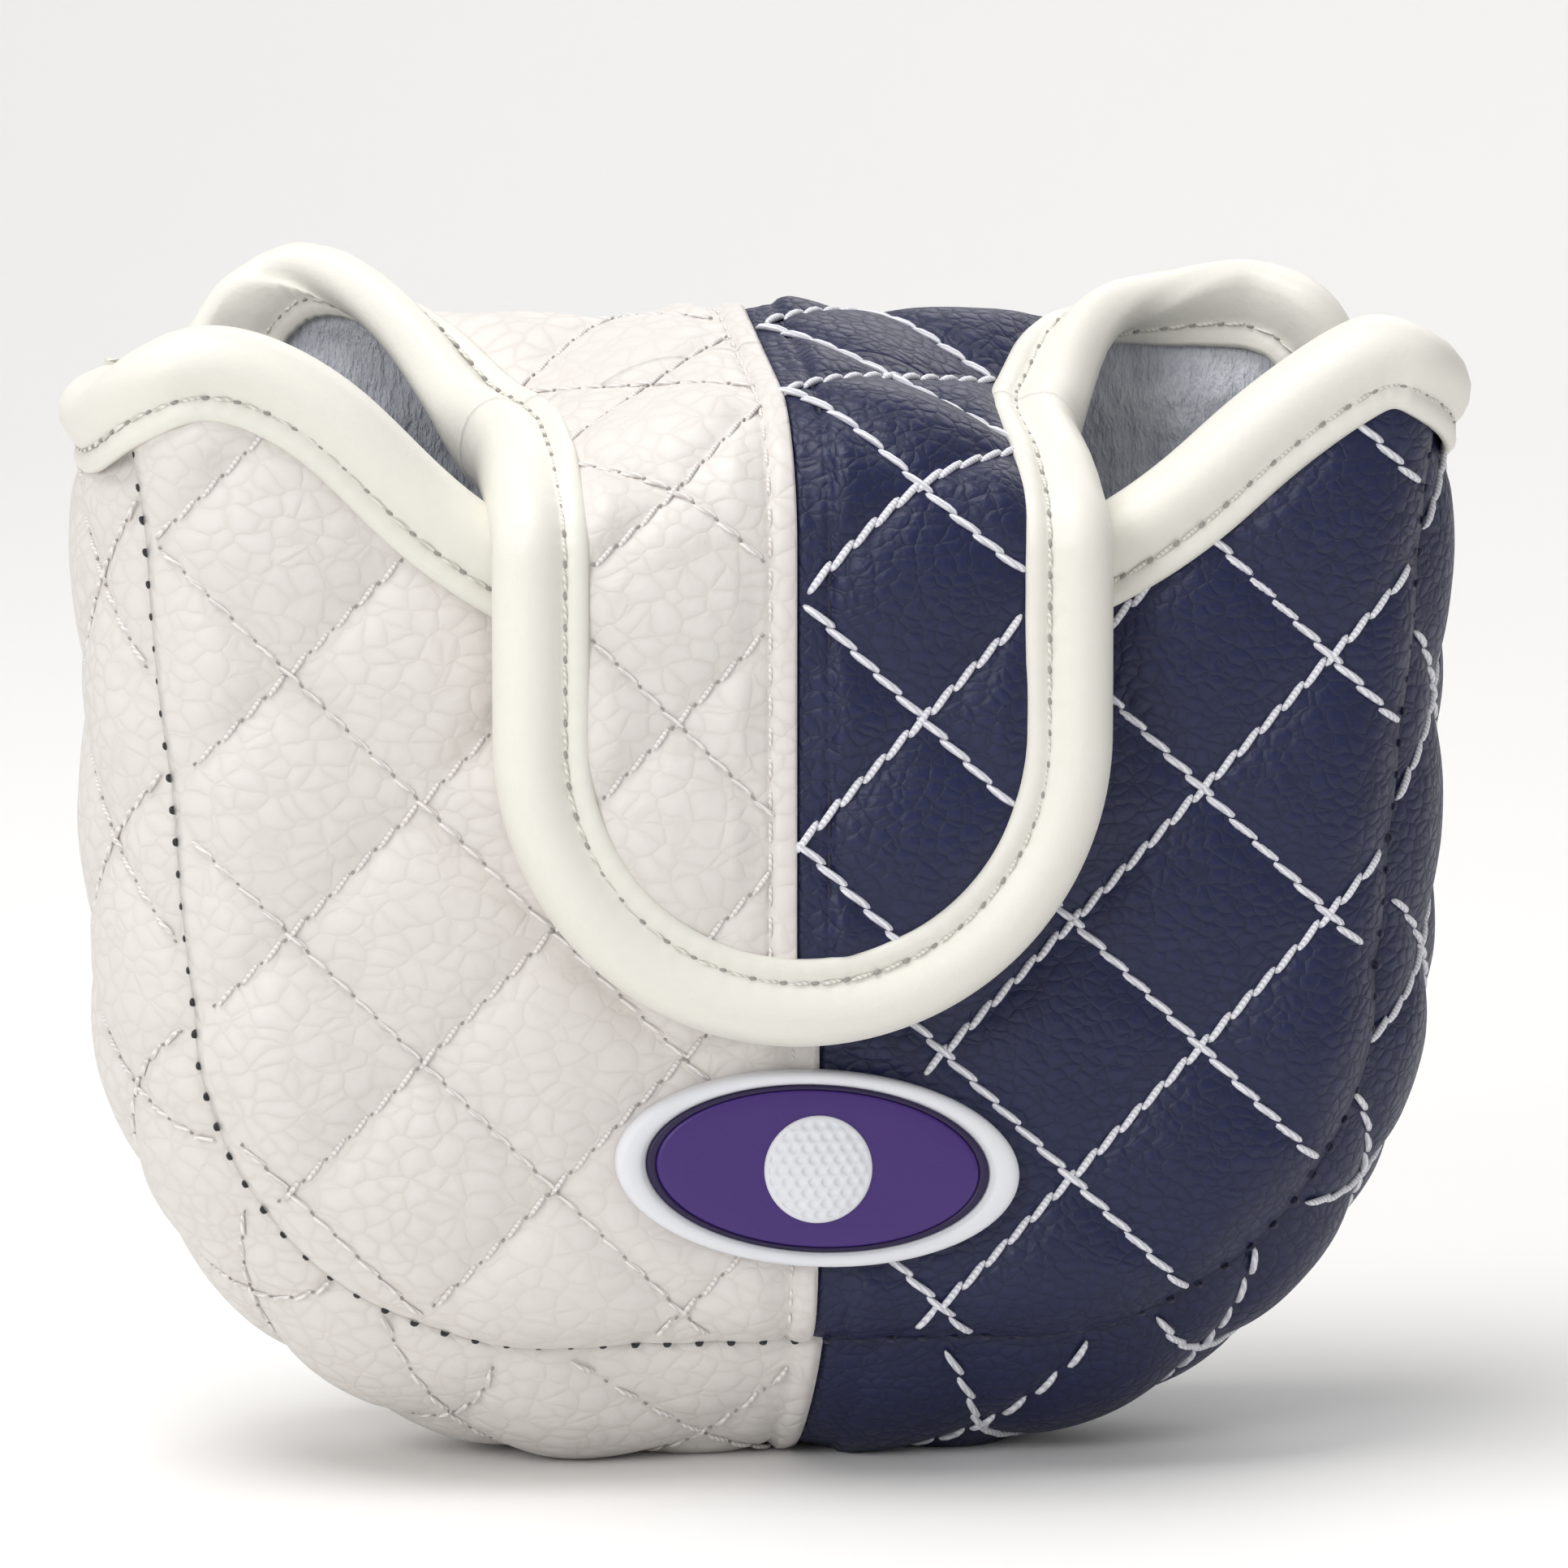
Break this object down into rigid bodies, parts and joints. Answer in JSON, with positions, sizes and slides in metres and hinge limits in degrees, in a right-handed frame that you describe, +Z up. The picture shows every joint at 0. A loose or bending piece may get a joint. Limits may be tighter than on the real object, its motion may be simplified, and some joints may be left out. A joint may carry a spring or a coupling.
{
  "type": "putter head cover",
  "caption": "Quilted two-tone mallet putter cover: a padded, plush-lined pouch with a folding flap held shut by magnets.",
  "frame": {"origin": "on the ground under the middle of the standing cover", "axes": "+X to the cover's navy half, +Y from the front panel towards the back panel, +Z up"},
  "size_m": [0.1348, 0.0611, 0.1149],
  "materials": {
    "white_leather": "pebbled, quilted, satin",
    "navy_leather": "pebbled, quilted, satin",
    "binding_leather": "smooth, soft satin",
    "foam_padding": "open-cell foam",
    "plush_lining": "short plush pile",
    "pocket_fabric": "plain weave",
    "magnet_steel": "plated",
    "badge_white": "moulded, matt",
    "badge_purple": "moulded, satin"
  },
  "bodies": {
    "pouch": {"front_panel_white": "white_leather", "front_panel_navy": "navy_leather", "front_panel_padding": "foam_padding", "front_panel_lining": "plush_lining", "gusset_white": "white_leather", "gusset_navy": "navy_leather", "gusset_padding": "foam_padding", "gusset_lining": "plush_lining", "back_panel_white": "white_leather", "back_panel_navy": "navy_leather", "back_panel_padding": "foam_padding", "back_panel_lining": "plush_lining", "front_rim_binding": "binding_leather", "wing_binding_left": "binding_leather", "wing_binding_right": "binding_leather", "pouch_magnet": "magnet_steel", "pouch_magnet_pocket": "pocket_fabric", "badge_base": "badge_white", "badge_inlay": "badge_purple", "badge_ball": "badge_white"},
    "flap_top": {"flap_top_white": "white_leather", "flap_top_navy": "navy_leather", "flap_top_padding": "foam_padding", "flap_top_lining": "plush_lining", "flap_top_binding_left": "binding_leather", "flap_top_binding_right": "binding_leather"},
    "flap_tongue": {"flap_tongue_white": "white_leather", "flap_tongue_navy": "navy_leather", "flap_tongue_padding": "foam_padding", "flap_tongue_lining": "plush_lining", "flap_tongue_binding": "binding_leather", "flap_magnet": "magnet_steel", "flap_magnet_pocket": "pocket_fabric"}
  },
  "joints": [
    {"name": "back_fold", "type": "hinge", "parent": "pouch", "child": "flap_top", "pos_m": [0, 0.01938, 0.10881], "axis": [-1, 0, 0], "range_deg": [0, 110]},
    {"name": "front_fold", "type": "hinge", "parent": "flap_top", "child": "flap_tongue", "pos_m": [0, -0.03158, 0.10232], "axis": [-1, 0, 0], "range_deg": [0, 80]}
  ]
}
